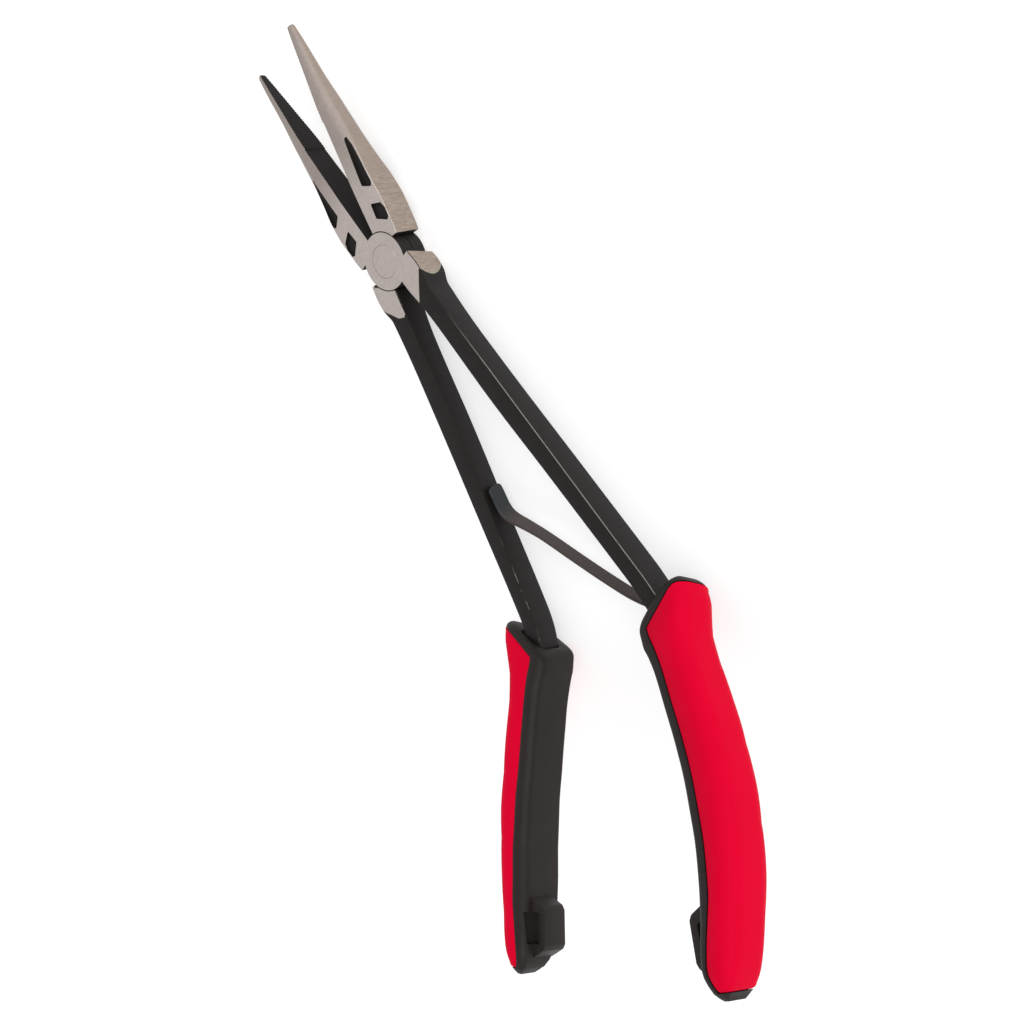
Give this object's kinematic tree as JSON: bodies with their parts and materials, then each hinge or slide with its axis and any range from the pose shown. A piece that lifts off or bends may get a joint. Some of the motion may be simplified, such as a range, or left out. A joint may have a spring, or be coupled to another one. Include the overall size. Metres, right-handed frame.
{
  "type": "long-reach needle-nose pliers",
  "caption": "Long-reach needle-nose pliers with a riveted lap joint, offset handles, two-part grips with tether loops and a leaf spring that pushes the handles open",
  "frame": {"origin": "centre of the bounding box's underside, under the bars behind the pivot, with the handles open as at rest", "axes": "+Y runs to the jaw tips, +Z is the pivot's axis and the front, the side the grips bend towards, +X is the right-hand grip"},
  "size_m": [0.0857, 0.2656, 0.0722],
  "materials": {
    "forged_steel": "forged steel, black oxide on the bars, brushed bare steel on the ground faces of the head",
    "rivet_steel": "bare steel, ground flush",
    "spring_steel": "dark grey-brown tempered spring steel",
    "grip_core": "matte black moulded plastic",
    "grip_cover": "soft red elastomer, fine matte texture"
  },
  "bodies": {
    "front_half": {"front_half": "forged_steel", "pivot_rivet": "rivet_steel", "spring_rivet": "rivet_steel", "right_grip_core": "grip_core", "right_grip_cover": "grip_cover"},
    "rear_half": {"rear_half": "forged_steel", "left_grip_core": "grip_core", "left_grip_cover": "grip_cover"},
    "leaf_spring": {"leaf_spring": "spring_steel"}
  },
  "joints": [
    {"name": "jaw_pivot", "type": "hinge", "parent": "front_half", "child": "rear_half", "pos_m": [-0.0001, 0.0638, 0.0071], "axis": [0, 0, 1], "range_deg": [-10, 14.7], "stiffness_Nm_per_rad": 0.25},
    {"name": "spring_flex", "type": "hinge", "parent": "front_half", "child": "leaf_spring", "pos_m": [0.02219, -0.06338, 0.0075], "axis": [0, 0, 1], "range_deg": [-21, 15], "deforming": ["leaf_spring"]}
  ],
  "couplings": [
    {"joint": "spring_flex", "follows": "jaw_pivot", "ratio": -1.41}
  ]
}
